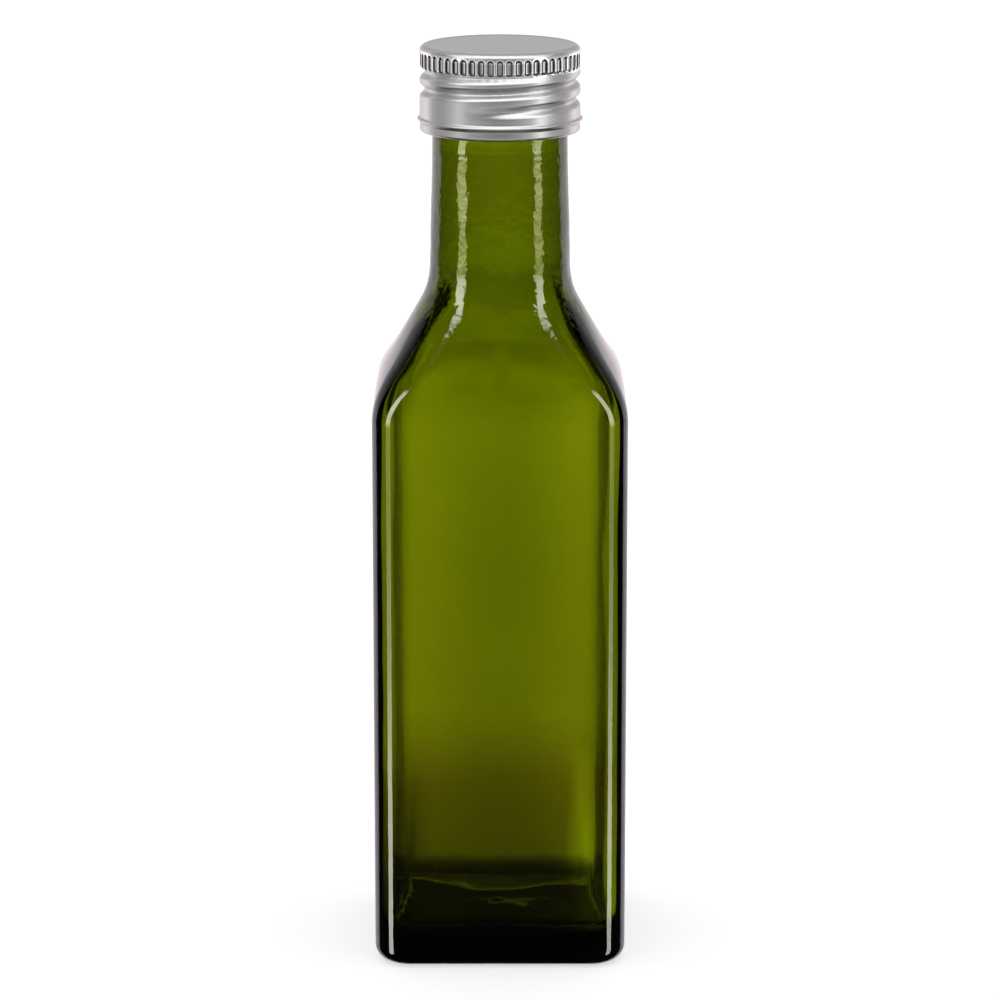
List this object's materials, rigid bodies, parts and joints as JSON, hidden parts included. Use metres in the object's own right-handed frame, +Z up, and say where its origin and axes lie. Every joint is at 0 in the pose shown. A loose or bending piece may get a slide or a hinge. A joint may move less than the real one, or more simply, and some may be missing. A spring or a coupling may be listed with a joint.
{
  "type": "square glass bottle",
  "caption": "Empty square glass bottle of dark olive green with a sloping shoulder, round neck and fluted aluminium screw cap.",
  "frame": {"origin": "centre of the base, on the plane the bottle stands on", "axes": "+Z up along the neck; the flat panels face +X, -X, +Y and -Y"},
  "size_m": [0.039, 0.039, 0.1416],
  "materials": {
    "green_glass": "clear dark olive green, polished",
    "satin_aluminium": "satin"
  },
  "bodies": {
    "root": {"bottle": "green_glass", "cap": "satin_aluminium"}
  },
  "joints": []
}
